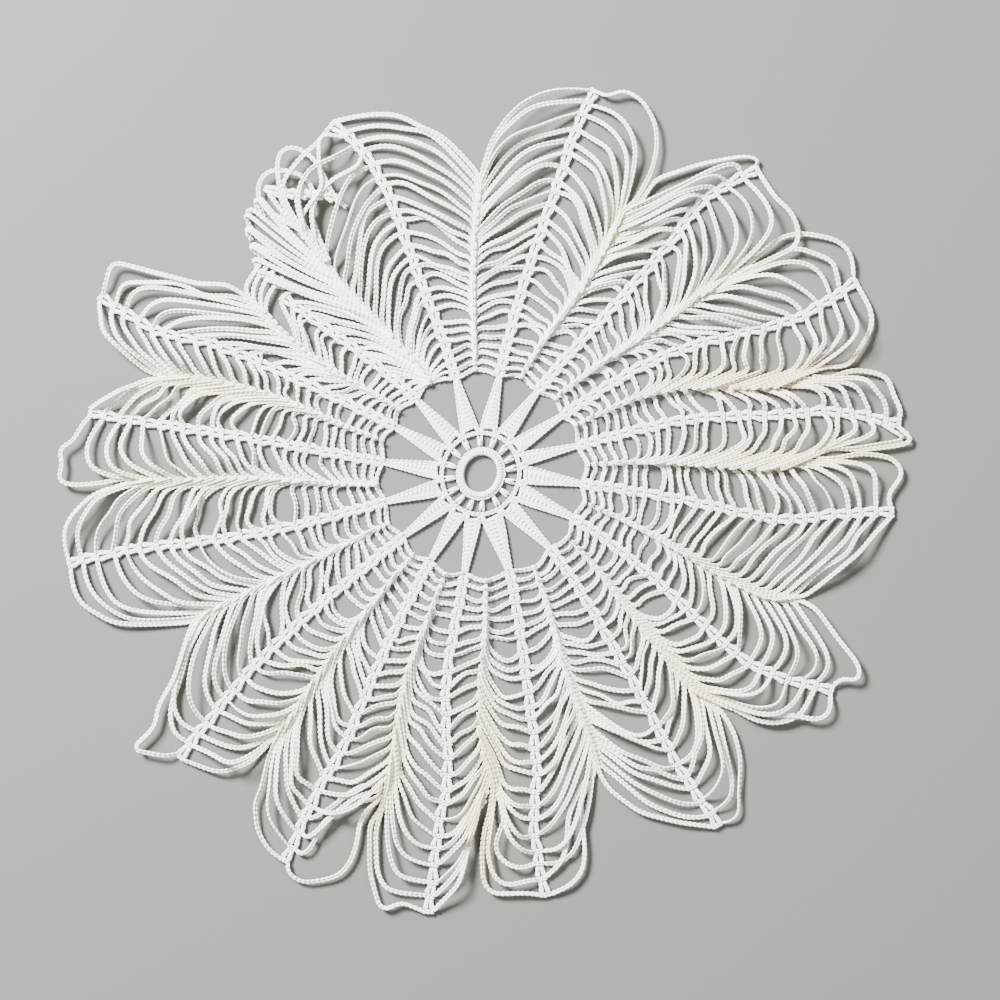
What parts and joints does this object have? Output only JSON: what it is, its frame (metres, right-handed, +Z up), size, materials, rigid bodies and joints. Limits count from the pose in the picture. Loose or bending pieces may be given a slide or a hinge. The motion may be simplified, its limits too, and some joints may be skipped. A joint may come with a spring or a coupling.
{
  "type": "crocheted lace doily",
  "caption": "Round openwork table doily: padded ring, pointed spokes and a scalloped net of chain arcs on plaited ribs, lying flat.",
  "frame": {"origin": "middle of the doily's box, on the surface that it lies on", "axes": "+Z up, out of the surface; +X to the right and +Y to the far side as seen from above, with the longest extent along X"},
  "size_m": [0.2521, 0.2486, 0.004],
  "materials": {
    "cotton": "matte off-white crochet cotton, a little yellowed where the chains are gathered"
  },
  "bodies": {
    "root": {"doily": "cotton"}
  },
  "joints": []
}
